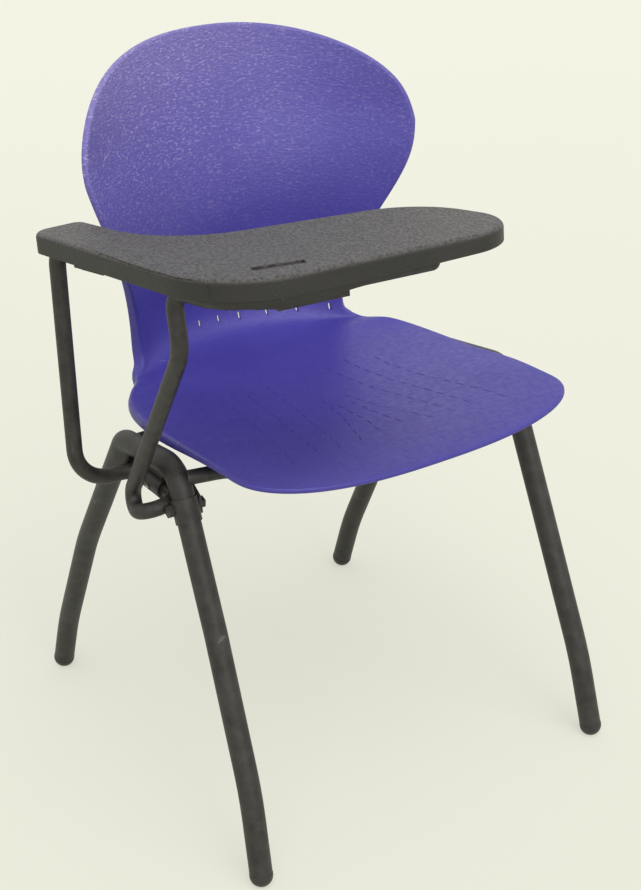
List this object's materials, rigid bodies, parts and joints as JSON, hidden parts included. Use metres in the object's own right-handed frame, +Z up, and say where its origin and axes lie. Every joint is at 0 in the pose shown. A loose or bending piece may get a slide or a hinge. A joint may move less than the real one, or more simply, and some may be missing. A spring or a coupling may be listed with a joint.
{
  "type": "tablet arm chair",
  "caption": "One-piece moulded shell on a bent steel-tube frame, with a writing tablet on a bent rod that swings up and outward beside the sitter's right hand.",
  "frame": {"origin": "middle of the object's box on the floor", "axes": "+Z up; the sitter faces -Y; +X is to the sitter's left, so the writing tablet is on the -X side"},
  "size_m": [0.5476, 0.5748, 0.794],
  "materials": {
    "black_paint": "satin black powder coat with fine grain",
    "shell_plastic": "blue-violet moulded polypropylene, finely textured, lightly scratched",
    "tablet_plastic": "black moulded plastic with a pebbled writing face",
    "cap_plastic": "smooth black plastic",
    "zinc_steel": "dulled zinc plating"
  },
  "bodies": {
    "chair": {"right_side_frame": "black_paint", "left_side_frame": "black_paint", "right_rear_foot_cap": "cap_plastic", "right_front_foot_cap": "cap_plastic", "left_rear_foot_cap": "cap_plastic", "left_front_foot_cap": "cap_plastic", "front_cross_tube": "black_paint", "rear_cross_tube": "black_paint", "right_front_mount_plate": "black_paint", "right_rear_mount_plate": "black_paint", "left_front_mount_plate": "black_paint", "left_rear_mount_plate": "black_paint", "seat_screws": "zinc_steel", "seat_washers": "zinc_steel", "hinge_sleeve": "black_paint", "front_hinge_bush": "cap_plastic", "rear_hinge_bush": "cap_plastic", "hinge_bracket_web": "black_paint", "hinge_bracket_plate": "black_paint", "seat_shell": "shell_plastic", "leg_clamp": "black_paint", "bracket_nut": "black_paint", "bracket_bolt": "black_paint"},
    "tablet_arm": {"writing_tablet": "tablet_plastic", "front_saddle": "black_paint", "rear_saddle": "black_paint", "tablet_screws": "zinc_steel", "tablet_rod": "black_paint", "rod_end_plugs": "cap_plastic", "fold_stop_pin": "zinc_steel"}
  },
  "joints": [
    {"name": "tablet_fold", "type": "hinge", "parent": "chair", "child": "tablet_arm", "pos_m": [-0.18592, -0.01344, 0.3858], "axis": [0, -1, 0], "range_deg": [0, 110]}
  ]
}
